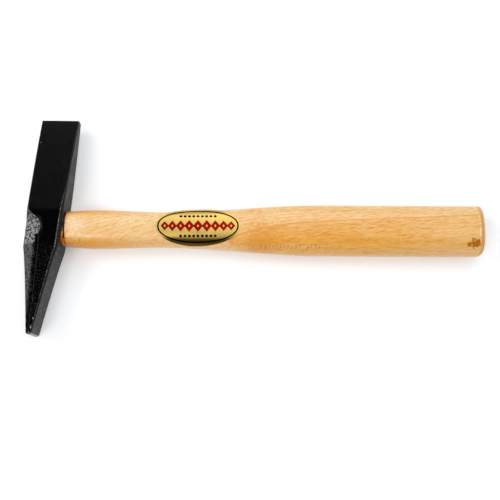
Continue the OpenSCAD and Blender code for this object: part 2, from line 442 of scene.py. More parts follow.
def oval_face(bm, x, wide, high):
    """A face across X with straight long sides and round ends."""
    turn = Matrix.Rotation(math.pi / 2, 4, "Y") @ Matrix.Rotation(math.pi / eye_sides, 4, "Z")
    ring = bmesh.ops.create_circle(bm, cap_ends=True, segments=eye_sides, radius=high / 2,
                                   matrix=turn)["verts"]
    for side in (-1, 1):
        half = [vert for vert in ring if vert.co.y * side > 0]
        bmesh.ops.translate(bm, verts=half, vec=Vector((x, side * (wide - high) / 2, 0)))
    return ring[0].link_faces[0]


def eye_form(grow, near, far):
    """The eye's inside, or the tenon's outside when grow is below zero."""
    bm = bmesh.new()
    wide, high = eye_wide + 2 * grow, eye_high + 2 * grow
    face = oval_face(bm, near, wide, high)
    face = extruded(bm, face, (-near, 0, 0))
    extruded(bm, face, (-far, 0, 0), (1, 1, (high + 2 * eye_flare) / high))
    bmesh.ops.recalc_face_normals(bm, faces=bm.faces)
    return bm


head_bm = combined(head_bm, eye_form(0, tool_reach, far_mouth + past_mouth), "DIFFERENCE")
print("Head with its eye:", len(head_bm.faces), "faces")

# %% [markdown]
# Black enamel, brushed over forged steel: where it lies flat the eye sees deep black,
# and on slopes a soft sheen. Its wear could be guessed by a shader from the mesh, but
# the patch and the breaks belong to places on this head. So each point stores how far
# it is forged, on a slope, on the near edge or on a side, and the rest is drawn from
# the place in millimetres. Real grains of scale are near 0.3 mm. They are drawn about
# 1 mm wide, so that they show in a picture of this size. A Map Range of a noise from one
# limit to another makes spots of it: the nearer the limits, the sharper the spots.
# %% Places and noises of the enamel
def place_on(tree):
    """The place on the tool, in millimetres."""
    at = add_node(tree, "TexCoord", out="Object")
    return add_node(tree, "VectorMath", [at, (1 / MM,) * 3], operation="MULTIPLY")


grain_size, speckle_size, wobble_size = 1.0, 1.1, 3.0
brush_strokes = (1.6, 0.12, 1.6)
painted_steel, tree = new_material("black_enamel_on_forged_steel")
place = place_on(tree)
xyz = add_node(tree, "SeparateXYZ", [place]).node.outputs
forged, slope, edge, side = (add_node(tree, "Attribute", out="Fac", attribute_name=name)
                             for name in ("forged", "slope", "edge", "side"))
upper = add_node(tree, "Math", [xyz["Z"], axis_z / MM], operation="GREATER_THAN")
scale_grain = add_node(tree, "TexNoise", {"Vector": place, "Scale": 1 / grain_size, "Detail": 3.0,
                                          "Roughness": 0.65})
speckle = add_node(tree, "TexNoise", {"Vector": place, "Scale": 1 / speckle_size, "Detail": 1.5,
                                      "Roughness": 0.5})
wobble = add_node(tree, "TexNoise", {"Vector": place, "Scale": 1 / wobble_size, "Detail": 3.0})
lengthwise = add_node(tree, "VectorMath", [place, brush_strokes], operation="MULTIPLY")
strokes = add_node(tree, "TexNoise", {"Vector": lengthwise, "Scale": 1.0, "Detail": 3.0})
print("Enamel starts with", len(tree.nodes), "nodes")

# %% [markdown]
# On the slope toward the far side, beside the eye, the grey scale under the enamel
# shows in one mottled patch, whose grey also paints part of the highlight there. It
# could be painted on by hand. Two ovals with a wobbling rim, each a sum of squares,
# give the same form and can be moved by a number.
# %% Mottled patch
patch_ovals = (((-5.4, 0.2), (5.2, 6.4)), ((-7.6, -6.0), (3.8, 6.2)))
rim_wobble, rim_limits = 1.3, (1.75, 1.45)
patch = 0.0
for middle, half_size in patch_ovals:
    parts = []
    for axis, at, half in zip("XY", middle, half_size):
        off = add_node(tree, "Math", [xyz[axis], at], operation="SUBTRACT")
        share = add_node(tree, "Math", [off, half], operation="DIVIDE")
        parts.append(add_node(tree, "Math", [share, 2.0], operation="POWER"))
    total = add_node(tree, "Math", parts, operation="ADD")
    total = add_node(tree, "Math", [wobble, rim_wobble, total], operation="MULTIPLY_ADD")
    blob = add_node(tree, "MapRange", [total, *rim_limits, 0, 1], **SMOOTH)
    patch = add_node(tree, "Math", [patch, blob], operation="MAXIMUM")
patch = add_node(tree, "Math", [patch, upper], operation="MULTIPLY")
print("Patch ovals:", len(patch_ovals))

# %% [markdown]
# Along the edge beside the handle the enamel is rubbed through in small bright breaks,
# more of them by the eye and fewer up the blade. Separate scratches could be modelled,
# but they are too small. A noise drawn out along the edge is raised or lowered by the
# place, and what is over a limit is bare.
# %% Breaks along the near edge
eye_middle = -2.0
beside_eye, up_from = (9.0, 16.0), (12.0, 24.0)
bare_limits = (0.57, 0.61)
along_edge = (2.2, 0.9, 2.2)
stretched = add_node(tree, "VectorMath", [place, along_edge], operation="MULTIPLY")
wear = add_node(tree, "TexNoise", {"Vector": stretched, "Scale": 1.0, "Detail": 4.0, "Roughness": 0.7})
from_eye = add_node(tree, "Math", [xyz["Y"], eye_middle], operation="SUBTRACT")
from_eye = add_node(tree, "Math", [from_eye], operation="ABSOLUTE")
by_eye = add_node(tree, "MapRange", [from_eye, *beside_eye, 0.08, 0.045])
up_blade = add_node(tree, "MapRange", [xyz["Y"], *up_from, 0.0, -0.08])
for shift in (by_eye, up_blade):
    wear = add_node(tree, "Math", [wear, shift], operation="ADD")
breaks = add_node(tree, "MapRange", [wear, *bare_limits, 0, 1])
breaks = add_node(tree, "Math", [edge, breaks], operation="MULTIPLY")
print("Nodes up to the breaks:", len(tree.nodes))

# %% [markdown]
# Four chips show a brownish primer: two near the peen's end, one on its slope and one
# near the blade's end. They could be cut into the mesh, but paint is too thin to show a
# step. Each is drawn from its distance to a place, and the scale makes its rim ragged.
# %% Chips
chips = ((-2.6, -53.4, 0.6), (-3.6, -58.2, 0.8), (-6.6, -27.9, 0.4), (-5.2, 52.1, 0.4))
chip_form = (1.7, 0.8, 0.0)
chip_rough, chip_rim, chip_core = 1.2, 0.4, 0.1
flat = add_node(tree, "VectorMath", [place, chip_form], operation="MULTIPLY")
chipped = 0.0
for x, y, reach in chips:
    at_chip = (x * chip_form[0], y * chip_form[1], 0)
    off = add_node(tree, "VectorMath", [flat, at_chip], out="Value", operation="DISTANCE")
    off = add_node(tree, "Math", [scale_grain, -chip_rough * reach, off], operation="MULTIPLY_ADD")
    chip = add_node(tree, "MapRange", [off, chip_rim * reach, chip_core * reach, 0, 1])
    chipped = add_node(tree, "Math", [chipped, chip], operation="MAXIMUM")
ragged = add_node(tree, "MapRange", [scale_grain, 0.36, 0.46, 0, 1])
for share in (ragged, upper):
    chipped = add_node(tree, "Math", [chipped, share], operation="MULTIPLY")
print("Chips in the paint:", len(chips))

# %% [markdown]
# Down the peen a band that shines a little follows the far edge, and grey specks of
# scale stand out in it. Inward of the band the slope is dull. Both could be painted
# apart, but measured from one line down the peen they keep their places side by side.
# %% Band and specks down the peen
line_slant, line_wobble = 0.052, 2.5
inward_from, band_from = (-4.4, -1.6), (-1.2, -3.7)
peen_from = (-9.0, -16.0)
from_line = add_node(tree, "Math", [xyz["Y"], -line_slant, xyz["X"]], operation="MULTIPLY_ADD")
inward = add_node(tree, "Math", [wobble, line_wobble, from_line], operation="MULTIPLY_ADD")
inward = add_node(tree, "MapRange", [inward, *inward_from, 0, 1], **SMOOTH)
in_band = add_node(tree, "MapRange", [from_line, *band_from, 0, 1])
past_eye = add_node(tree, "MapRange", [xyz["Y"], *peen_from, 0, 1], **SMOOTH)
specks = add_node(tree, "MapRange", [speckle, 0.5, 0.64, 0, 0.75])
specks = add_node(tree, "Math", [specks, in_band], operation="MULTIPLY")
fine_specks = add_node(tree, "MapRange", [scale_grain, 0.52, 0.68, 0, 0.22])
specks = add_node(tree, "Math", [specks, fine_specks], operation="ADD")
for share in (past_eye, forged):
    specks = add_node(tree, "Math", [specks, share], operation="MULTIPLY")
print("Nodes up to the specks:", len(tree.nodes))

# %% [markdown]
# The enamel's colours lie over each other: near black, grey where the scale shows
# through on the far slopes, lightened to paint part of their highlight, grey on the
# sides, partly dust and partly a painted reflection of the floor, specks, bright steel
# in the breaks and primer in the chips. One function lays any list of such layers on a
# base colour.
# %% Colours of the enamel
def layered(tree, base, layers):
    """A base colour with other colours laid on it, each over a share from 0 to 1."""
    colour = srgb(base)
    for share, tint in layers:
        inputs = {0: share, 6: colour, 7: srgb(tint)}
        colour = add_node(tree, "Mix", inputs, out=2, data_type="RGBA")
    return colour


# Grey of the scale on the far slopes, lightened to paint part of their highlight.
scale_and_highlight = add_node(tree, "MapRange", [speckle, 0.45, 0.54, 0, 1])
thin_paint_and_sheen = add_node(tree, "MapRange", [scale_grain, 0.45, 0.6, 0, 0.46])
thin_paint_and_sheen = add_node(tree, "MapRange", [inward, 0, 1, thin_paint_and_sheen, 0])
scale_grey_and_sheen = add_node(tree, "Mix", {0: patch, 2: thin_paint_and_sheen, 3: scale_and_highlight})
scale_grey_and_sheen = add_node(tree, "Math", [scale_grey_and_sheen, slope], operation="MULTIPLY")
# Grey on the sides: dust streaks, and a painted reflection of the white floor.
side_dust_and_reflection = add_node(tree, "MapRange", [strokes, 0.42, 0.62, 0, 0.5])
side_dust_and_reflection = add_node(tree, "Math", [side_dust_and_reflection, side], operation="MULTIPLY")
colour = layered(tree, "#0c0c0d", [(forged, "#020202"), (scale_grey_and_sheen, "#848381"), (side_dust_and_reflection, "#3e3b39"),
                                   (specks, "#565655"), (breaks, "#9c9ea0"), (chipped, "#9a866e")])
print("Nodes up to the colours:", len(tree.nodes))

# %% [markdown]
# How sharply the enamel shines changes from place to place: sleek on the cheeks, glossy
# in the patch, softer in the band, dull inward of it and on the sides, and rubbed dull
# along the edge. One roughness would be simpler, but brushed paint never has just one.
# It follows the brush strokes on the flats and the grains of scale on the slopes.
# %% Gloss of the enamel
sleek = add_node(tree, "MapRange", [forged, 0, 1, 0.14, 0.1])
sleek_high = add_node(tree, "MapRange", [forged, 0, 1, 0.24, 0.17])
flat_rough = add_node(tree, "MapRange", [strokes, 0.3, 0.7, sleek, sleek_high])
dull = add_node(tree, "MapRange", [speckle, 0.38, 0.62, 0.42, 0.75])
dull = add_node(tree, "MapRange", [inward, 0, 1, dull, 0.95])
shiny = add_node(tree, "MapRange", [speckle, 0.4, 0.6, 0.5, 0.22])
slope_rough = add_node(tree, "Mix", {0: patch, 2: dull, 3: shiny})
side_rough = add_node(tree, "MapRange", [strokes, 0.35, 0.65, 0.35, 0.8])
rubbed = add_node(tree, "Math", [edge, breaks], operation="SUBTRACT", use_clamp=True)
rough = flat_rough
for share, other in ((slope, slope_rough), (rubbed, 0.65), (side, side_rough)):
    rough = add_node(tree, "Mix", {0: share, 2: rough, 3: other})
print("Nodes up to the gloss:", len(tree.nodes))

# %% [markdown]
# The strokes stand in a fine relief, and the patch in a deeper one. The breaks are
# bare steel, a metal. The dull slope inward of the band is thin paint on scale that
# gives back hardly any light: it is written as a black metal, because a metal's shine
# is its own colour and a black one has none.
# %% Put the enamel together
stroke_relief, forged_relief, patch_relief = 0.006 * MM, 0.025 * MM, 0.12 * MM
relief = add_node(tree, "Mix", {0: patch, 2: strokes, 3: speckle})
relief = add_node(tree, "Math", [relief, scale_grain], operation="ADD")
depth = add_node(tree, "MapRange", [forged, 0, 1, stroke_relief, forged_relief])
depth = add_node(tree, "Math", [patch, patch_relief, depth], operation="MULTIPLY_ADD")
bump = add_node(tree, "Bump", {"Strength": 1.0, "Distance": depth, "Height": relief})
bare_scale = add_node(tree, "Math", [inward, slope], operation="MULTIPLY")
bare_scale = add_node(tree, "MapRange", [patch, 0, 1, bare_scale, 0])
metal = add_node(tree, "Math", [breaks, bare_scale], operation="MAXIMUM")
shader = add_node(tree, "BsdfPrincipled", {"Base Color": colour, "Metallic": metal, "Roughness": rough,
                                           "Normal": bump, "IOR": 1.5, "Specular IOR Level": 0.35})
add_node(tree, "OutputMaterial", [shader])
print("Enamel:", len(tree.nodes), "nodes")

# %% [markdown]
# A finished piece is scaled to metres, lifted to its place and given its material, and
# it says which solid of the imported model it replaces. The object itself could be scaled
# and moved, but then the patterns on it would slide. So its points are moved instead.
# %% Finish a piece
def finish_piece(bm, name, material, slot, *nodes):
    """Turns a mesh drawn in millimetres round the axis into a named piece in its place."""
    bmesh.ops.scale(bm, verts=bm.verts, vec=Vector((MM, MM, MM)))
    bmesh.ops.translate(bm, verts=bm.verts, vec=Vector((0, 0, axis_z)))
    bmesh.ops.recalc_face_normals(bm, faces=bm.faces)
    piece = loose_piece(bm, name)
    piece.data.materials.append(material)
    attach(piece, "root")
    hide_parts(*nodes)
    print(name, "has", len(piece.data.polygons), "faces")
    return piece


def write_share(piece, name, share):
    """Stores a share from 0 to 1 at each point, for the material to read."""
    layer = piece.data.attributes.new(name, "FLOAT", "POINT")
    for vert, item in zip(piece.data.vertices, layer.data):
        point = Vector((vert.co.x, vert.co.y, vert.co.z - axis_z)) / MM
        item.value = share(point, vert.normal)


# %% [markdown]
# The head stores the four shares that its enamel reads. They could be painted as vertex
# colours, but the direction of the surface tells a cheek from a slope, an edge or a
# side by itself.
# %% Finish the head
edge_from, edge_from_soft = 0.03, 0.03
edge_to, edge_to_soft = 0.13, 0.05
edge_faces = 0.2
slope_from, slope_soft = 0.04, 0.1
side_from, side_soft = 0.75, 0.15


def near_edge_share(point, normal):
    """1 where a cheek rounds into the bevel on the handle's side."""
    turned = 1 - abs(normal.z)
    if normal.x <= edge_faces:
        return 0.0
    return ease((turned - edge_from) / edge_from_soft) * ease((edge_to - turned) / edge_to_soft)


def far_slope_share(point, normal):
    """1 on the slopes between a cheek and the far side, from the eye to the peen."""
    return ease((-normal.x - slope_from) / slope_soft) * (1 - ease((point.y - cheek_up) / blade_fade))


def side_share(point, normal):
    """1 on the two sides that face along the handle."""
    return ease((abs(normal.x) - side_from) / side_soft)


head = finish_piece(head_bm, "hammer_head_forging", painted_steel, "painted_steel", "hammer_head")
write_share(head, "forged", forged_share)
write_share(head, "slope", far_slope_share)
write_share(head, "edge", near_edge_share)
write_share(head, "side", side_share)

# %% [markdown]
# The handle is turned and sanded from one beech stick. Its section is a full oval
# whose width and thickness change along X: neck, swell, waist, grip and butt. A curve
# with a bevel could carry it, but width and thickness change apart. So each has its own
# size at five gauge marks, and soft blends from one mark to the next.
# %% Sizes of the handle
shoulder_at = 11.8
swell_at = 31
waist_at = 66
grip_at = 162
butt_past = 0.1
butt_reach = handle_high.x / MM - butt_past
butt_round = 5.3
butt_at = butt_reach - butt_round
butt_slant = math.tan(math.radians(2.2))
widths = (20.2, 22.7, 20.8, 30.4, 30.9)
thicknesses = (17.4, 18.6, 16.8, 22.0, 22.2)
print("Shoulder to butt:", round(butt_reach - shoulder_at, 1), "mm")


def along(x, sizes):
    """A size of the handle at x, from the sizes at its five gauge marks."""
    neck, swell, waist, grip, butt = sizes
    if x < swell_at:
        return mix(neck, swell, 1 - (1 - clamped((x - shoulder_at) / (swell_at - shoulder_at))) ** 2)
    if x < waist_at:
        return mix(swell, waist, ease((x - swell_at) / (waist_at - swell_at)))
    if x < grip_at:
        return mix(waist, grip, ease((x - waist_at) / (grip_at - waist_at)))
    return mix(grip, butt, (x - grip_at) / (butt_at - grip_at))


# %% [markdown]
# The handle's oval lies between an ellipse and a rectangle. A scaled circle would be too
# lean and a rounded rectangle too stiff. A circle whose points are moved out by a power
# lies between, and one number sets how full it is. At the butt the width and the
# thickness round off each at its own pace.
# %% Section of the handle
section_power = 2.5
section_sides = 96
butt_width_power, butt_thickness_power = 2.7, 1.7
shoulder_round, shoulder_round_long = 0.3, 0.4


def rounded_share(x, power):
    """What is left of a size at x, as the butt rounds off."""
    return (1 - clamped((x - butt_at) / butt_round) ** power) ** (1 / power)


def half_sizes(x):
    """Half the handle's width and thickness at x."""
    lost = shoulder_round * (1 - clamped((x - shoulder_at) / shoulder_round_long)) ** 2
    return (along(x, widths) / 2 * rounded_share(x, butt_width_power) - lost,
            along(x, thicknesses) / 2 * rounded_share(x, butt_thickness_power) - lost)


def squared(value):
    """A point of a circle moved out to the handle's fuller oval."""
    return math.copysign(abs(value) ** (2 / section_power), value)


def oval_section(bm, x, half_w, half_t):
    """A face across X with the handle's oval."""
    turn = Matrix.Rotation(math.pi / 2, 4, "Y")
    ring = bmesh.ops.create_circle(bm, cap_ends=True, segments=section_sides, radius=1,
                                   matrix=turn)["verts"]
    for vert in ring:
        vert.co = (x, half_w * squared(vert.co.y), half_t * squared(vert.co.z))
    return ring[0].link_faces[0]


print("Handle at the swell:", [round(2 * half, 1) for half in half_sizes(swell_at)], "mm")

# %% [markdown]
# One face of that oval is pulled out along X and scaled at each step, the way a lathe
# operator works from one gauge mark to the next. A bridge of many sections would give
# the same skin with more lines. The marks are close where the form changes fast, at the
# shoulder and the butt. The butt is cut a little aslant, so its points are sheared.
# %% Pull the handle out
shoulder_step = 0.1
neck_marks, waist_marks, grip_marks, butt_marks = 8, 14, 36, 24
butt_shares = (0, 0.1, 0.2, 0.3, 0.42, 0.55, 0.67, 0.78, 0.87, 0.94, 0.98, 0.995)
gauge = ([shoulder_at + shoulder_step * i for i in range(5)]
         + steps(shoulder_at + 5 * shoulder_step, swell_at, neck_marks)
         + steps(swell_at, waist_at, waist_marks) + steps(waist_at, grip_at, grip_marks)
         + steps(grip_at, butt_at, butt_marks)
         + [butt_at + butt_round * share for share in butt_shares])
handle_bm = bmesh.new()
face = oval_section(handle_bm, gauge[0], *half_sizes(gauge[0]))
for before, after in zip(gauge, gauge[1:]):
    (w0, t0), (w1, t1) = half_sizes(before), half_sizes(after)
    face = extruded(handle_bm, face, (after - before, 0, 0), (1, w1 / w0, t1 / t0))
for vert in handle_bm.verts:
    vert.co.x += butt_slant * clamped((vert.co.x - grip_at) / (butt_at - grip_at)) * vert.co.y
bmesh.ops.recalc_face_normals(handle_bm, faces=handle_bm.faces)
print("Handle:", len(gauge), "gauge marks,", len(handle_bm.faces), "faces")

# %% [markdown]
# Two wedges hold the head: a wooden one along the eye's oval and a steel one across it.
# Each could be drawn as an outline and extruded. Moving the ends of a cube is shorter,
# and the same form, a little larger, cuts the slot that it sits in.
# %% Wedges
wedge_fit = 0.03
wedge_tip = 0.7
wood_wedge = dict(long=14.0, thick=3.4, wide=18.2)
steel_wedge = dict(long=11.0, thick=2.4, wide=10.5)
wedge_head_at = -head_half_width(0)
wedge_past = 1.0


def wedge_form(long, thick, wide, grow=0.0, across=False):
    """A tapered wedge that points to +X. Its width lies along Y, or along Z when across."""
    bm = bmesh.new()
    bmesh.ops.create_cube(bm, size=1)
    for vert in bm.verts:
        at_head = vert.co.x < 0
        reach = -wedge_past if at_head else long + grow
        half = (thick if at_head else wedge_tip) / 2 + grow
        vert.co = (wedge_head_at + reach, math.copysign(wide / 2 + grow, vert.co.y),
                   math.copysign(half, vert.co.z))
    if across:
        bmesh.ops.rotate(bm, verts=bm.verts, cent=(0, 0, 0), matrix=Matrix.Rotation(math.pi / 2, 3, "X"))
    bmesh.ops.recalc_face_normals(bm, faces=bm.faces)
    return bm


print("The wedges reach", wood_wedge["long"], "and", steel_wedge["long"], "mm into the eye")

# %% [markdown]
# The tenon goes through the eye and is trimmed a little under the head's far side. It
# is joined to the handle, then slotted for both wedges. Wedges pushed straight into
# whole wood would be simpler, but then they would share its room.
# %% Tenon and its slots
eye_fit = 0.05
recess = 0.2
tenon_start = shoulder_at + 1


def trimmed(bm, depth):
    """Cuts everything past the head's far side, at a depth under it."""
    spread = (head_half_width(blade_reach) - head_half_width(0)) / -blade_reach
    bmesh.ops.bisect_plane(bm, geom=bm.verts[:] + bm.edges[:] + bm.faces[:],
                           plane_no=Vector((-1, spread + lean, 0)),
                           plane_co=(wedge_head_at + depth, 0, 0), clear_outer=True)
    bmesh.ops.holes_fill(bm, edges=[edge for edge in bm.edges if edge.is_boundary])
    bmesh.ops.recalc_face_normals(bm, faces=bm.faces)
    return bm


tenon_bm = trimmed(eye_form(-eye_fit, tenon_start, far_mouth), recess)
handle_bm = combined(handle_bm, tenon_bm, "UNION")
wood_slot = wedge_form(wood_wedge["long"], wood_wedge["thick"], 2 * eye_wide, wedge_fit)
handle_bm = combined(handle_bm, wood_slot, "DIFFERENCE")
handle_bm = combined(handle_bm, wedge_form(grow=wedge_fit, across=True, **steel_wedge), "DIFFERENCE")
print("Handle with its tenon:", len(handle_bm.faces), "faces")

# %% [markdown]
# Beech is pale and even, with short dark flecks along its fibres. The stick was cut so
# that its fibres climb across the neck and run nearly straight through the grip. A
# picture of wood could be wrapped round, but it would slide over the curves. So each
# point stores where it lay in the plank, and the pattern follows the wood.
# %% Grain of the handle
drift = 38.0
drift_from, drift_to = -60.0, 145.0
grip_drift = 0.06


def grain_at(point):
    """Along the fibres, across them, and up from the axis, in millimetres."""
    climb = drift * ease((point.x - drift_from) / (drift_to - drift_from)) + grip_drift * point.x
    return Vector((point.x, point.y - climb, point.z))


print("Grain at the neck's top:", [round(part, 1) for part in grain_at(Vector((30, 0, 9)))])

# %% [markdown]
# Along the fibres beech has streaks, clouds, fibres, a silky shine and pores, each a
# noise of its own length and width. One noise at several details would give them all one
# form. Real pores and fibres are near 0.1 mm across. They are drawn about 0.3 mm wide,
# so that they show.
# %% Streaks, fibres and pores
streak_sizes = {"streak": (22, 1.5), "cloud": (40, 7), "wander": (50, 12), "fibre": (5, 0.35),
                "shine": (6.0, 0.6), "pore": (1.4, 0.32)}
beech, tree = new_material("lacquered_beech")
grain = add_node(tree, "Attribute", out="Vector", attribute_name="grain")
end = add_node(tree, "Attribute", out="Fac", attribute_name="end_grain")
place = place_on(tree)
xyz = add_node(tree, "SeparateXYZ", [place]).node.outputs
plank = add_node(tree, "SeparateXYZ", [grain]).node.outputs
marks = {}
for name, (long, wide) in streak_sizes.items():
    scaled = add_node(tree, "VectorMath", [grain, (1 / long, 1 / wide, 1 / wide)], operation="MULTIPLY")
    marks[name] = add_node(tree, "TexNoise", {"Vector": scaled, "Scale": 1.0, "Detail": 2.0})
print("Marks along the fibres:", ", ".join(marks))

# %% [markdown]
# Annual rings are layers in the plank, tilted to the cheek and wandering a little. One
# of them is strong here: it runs up through the grip as a dark line, and the wood below
# it is warmer. A wave texture could draw them, but its stripes fade alike both ways.
# Late wood darkens slowly and ends sharply, as the fraction of a count of years does.
# %% Annual rings
ring_tilt = 1.6
strong_ring, ring_width, ring_core = -62.0, 0.7, 0.1
below_from = (0.5, -1.5)
year, late_from = 2.6, 0.35
noise_middle = 0.5
rings = add_node(tree, "Math", [plank["Z"], -ring_tilt, plank["Y"]], operation="MULTIPLY_ADD")
from_ring = add_node(tree, "Math", [rings, strong_ring + noise_middle], operation="SUBTRACT")
from_ring = add_node(tree, "Math", [marks["wander"], from_ring], operation="ADD")
below_ring = add_node(tree, "MapRange", [from_ring, *below_from, 0, 1], **SMOOTH)
ring_line = add_node(tree, "Math", [from_ring], operation="ABSOLUTE")
ring_line = add_node(tree, "MapRange", [ring_line, ring_width, ring_core, 0, 1], **SMOOTH)
late_wood = add_node(tree, "Math", [from_ring, 1 / year], operation="MULTIPLY")
late_wood = add_node(tree, "Math", [late_wood], operation="FRACT")
late_wood = add_node(tree, "MapRange", [late_wood, late_from, 1.0, 0, 1], **SMOOTH)
print("Annual rings every", year, "mm")

# %% [markdown]
# Beech is known by its flecks: the ends of its rays, spindles a few millimetres long.
# Stretched cells of a Voronoi texture have that form, and a limit on each cell's own
# colour leaves some out. Cells stand in columns, so the coordinates are sheared and
# the columns break up. Real flecks are 0.2 mm wide. These are near 0.4 mm, to show.
# %% Flecks
stagger = {"Y": 7.0, "Z": 3.0}
fleck_kinds = ((5.4, 0.5, 1.3, 0.75), (2.6, 0.42, 1.0, 0.5))
fleck_rim, chosen_soft = (0.43, 0.35), 0.2
shifted = plank["X"]
for axis, amount in stagger.items():
    shifted = add_node(tree, "Math", [plank[axis], -amount, shifted], operation="MULTIPLY_ADD")
staggered = add_node(tree, "CombineXYZ", [shifted, plank["Y"], plank["Z"]])
flecks = []
for long, wide, deep, density in fleck_kinds:
    scaled = add_node(tree, "VectorMath", [staggered, (1 / long, 1 / wide, 1 / deep)],
                      operation="MULTIPLY")
    cell = add_node(tree, "TexVoronoi", {"Vector": scaled, "Scale": 1.0}).node.outputs
    chosen = add_node(tree, "SeparateColor", [cell["Color"]])
    chosen = add_node(tree, "MapRange", [chosen, 1 - density, 1 - density + chosen_soft, 0, 1])
    spindle = add_node(tree, "MapRange", [cell["Distance"], *fleck_rim, 0, 1])
    flecks.append(add_node(tree, "Math", [spindle, chosen], operation="MULTIPLY"))
print("Kinds of fleck:", len(flecks))

# %% [markdown]
# Where the rings run out at the lower edge of the grip they show as a row of scallops.
# They could come from the rings by themselves, but only with far finer sizes. A bent
# sine along the edge, faded at its ends and broken by blots, is easier to place.
# %% Scallops
scallop, scallop_y, scallop_bend = 2.25, -11.6, 0.45
scallop_wander, crest = 7.0, (0.2, 0.9)
blot_size = 1.8
scallop_fades = {"Y": ((-13.6, -12.6), (-9.4, -10.8)), "X": ((112, 124), (176, 160))}
off = add_node(tree, "Math", [xyz["Y"], scallop_y], operation="SUBTRACT")
bend = add_node(tree, "Math", [off, off], operation="MULTIPLY")
bend = add_node(tree, "Math", [bend, scallop_bend, xyz["X"]], operation="MULTIPLY_ADD")
bend = add_node(tree, "Math", [marks["wander"], scallop_wander, bend], operation="MULTIPLY_ADD")
wave = add_node(tree, "Math", [bend, 2 * math.pi / scallop], operation="MULTIPLY")
wave = add_node(tree, "Math", [wave], operation="SINE")
wave = add_node(tree, "MapRange", [wave, *crest, 0, 1])
for axis, fades in scallop_fades.items():
    for nothing, full in fades:
        fade = add_node(tree, "MapRange", [xyz[axis], nothing, full, 0, 1], **SMOOTH)
        wave = add_node(tree, "Math", [wave, fade], operation="MULTIPLY")
blot = add_node(tree, "TexNoise", {"Vector": place, "Scale": 1 / blot_size, "Detail": 3.0})
broken = add_node(tree, "MapRange", [blot, 0.43, 0.56, 0.0, 1])
wave = add_node(tree, "Math", [wave, broken], operation="MULTIPLY")
print("Scallops every", scallop, "mm")

# %% [markdown]
# Lacquer turns beech from cream to honey, more so below the strong ring and by the
# shoulder, less so toward the butt. It is also warmer toward the lower side: partly the
# wood's tone, partly painted shade, with the paler top standing in for its sheen. Each
# could be a tint of its own, but they would add up to mud. One share of warmth gathers
# them, and later it blends the two wood colours.
# %% Warmth
downward, lower_edge = (7.0, -9.0), (-11.5, -7.5)
into_grip, toward_butt, toward_shoulder = (96, 125), (195, 245), (55, 14)
ring_warms, grip_warms, cloud_warms = 0.25, 0.31, 0.5
lower_warms, shoulder_warms, least = 0.3, 0.16, -0.16
# Warmer toward the lower side: partly the wood's tone, partly painted shade under the sheened top.
lower_warmth_and_shade = add_node(tree, "MapRange", [xyz["Y"], *downward, 0, lower_warms])
ring_fade = add_node(tree, "MapRange", [xyz["Y"], *lower_edge, 0.3, 1], **SMOOTH)
ring_line = add_node(tree, "Math", [ring_line, ring_fade], operation="MULTIPLY")
in_grip = add_node(tree, "MapRange", [xyz["X"], *into_grip, 0, 1], **SMOOTH)
butt_pale = add_node(tree, "MapRange", [xyz["X"], *toward_butt, 1, 0.6], **SMOOTH)
by_shoulder = add_node(tree, "MapRange", [xyz["X"], *toward_shoulder, 0, shoulder_warms])
below_ring = add_node(tree, "Math", [below_ring, ring_fade], operation="MULTIPLY")
below_ring = add_node(tree, "Math", [below_ring, ring_warms, grip_warms], operation="MULTIPLY_ADD")
for share in (in_grip, butt_pale):
    below_ring = add_node(tree, "Math", [below_ring, share], operation="MULTIPLY")
warmth = add_node(tree, "Math", [marks["cloud"], cloud_warms, least], operation="MULTIPLY_ADD")
for share in (below_ring, lower_warmth_and_shade, by_shoulder):
    warmth = add_node(tree, "Math", [warmth, share], operation="ADD")
print("Nodes up to the warmth:", len(tree.nodes))

# %% [markdown]
# Four soft spots have their own places: a warm zone low in the grip, a pale patch of
# painted sheen behind the shoulder, and a brown run of lacquer at the butt, which is a
# drop with a tail.
# A mask could be painted for each. A distance to a place, made uneven by the blots,
# does it with a reach and a softness.
# %% Spots
spot_places = {"warm_zone": ((125.0, -8.0, 19.5), 15.0, 11.0), "painted_sheen": ((17.5, 1.0, 20.0), 6.5, 5.0),
               "drop": ((252.6, -9.4, 21.0), 3.1, 0.9), "tail": ((248.7, -10.0, 20.6), 1.7, 0.6)}
spots = {}
for name, (middle, reach, soft) in spot_places.items():
    off = add_node(tree, "VectorMath", [place, middle], out="Value", operation="DISTANCE")
    off = add_node(tree, "Math", [blot, 2.0 * reach, off], operation="MULTIPLY_ADD")
    spots[name] = add_node(tree, "MapRange", [off, 2.0 * reach, 2.0 * reach - soft, 0, 1], **SMOOTH)
stain = add_node(tree, "Math", [spots["drop"], spots["tail"]], operation="MAXIMUM")
stain_depth = add_node(tree, "MapRange", [marks["fibre"], 0.35, 0.6, 0.88, 1])
stain = add_node(tree, "Math", [stain, stain_depth], operation="MULTIPLY")
print("Spots:", ", ".join(spots))

# %% [markdown]
# By the head the lacquer stands thick in the fibres of the shoulder, the neck is darker
# and more orange along its two edges, and dark dirt has settled in the lacquer low down.
# These have no sharp outline, so each is only a blend along the handle times one across it.
# %% Shoulder, darker neck edges and dirt
shoulder_fibre, shoulder_reach = 3.0, (16.0, 13.4)
neck_edges, neck_edges_reach = (5.5, 9.5), (80, 16)
dirt_size, dirt_reach, dirt_down = 0.9, (34, 14), (-2.0, -9.0)
shoulder = add_node(tree, "Math", [marks["fibre"], shoulder_fibre, xyz["X"]], operation="MULTIPLY_ADD")
shoulder = add_node(tree, "MapRange", [shoulder, *shoulder_reach, 0, 1], **SMOOTH)
darker_neck_edges = add_node(tree, "Math", [xyz["Y"]], operation="ABSOLUTE")
darker_neck_edges = add_node(tree, "MapRange", [darker_neck_edges, *neck_edges, 0, 1], **SMOOTH)
neck_edges_near = add_node(tree, "MapRange", [xyz["X"], *neck_edges_reach, 0, 1], **SMOOTH)
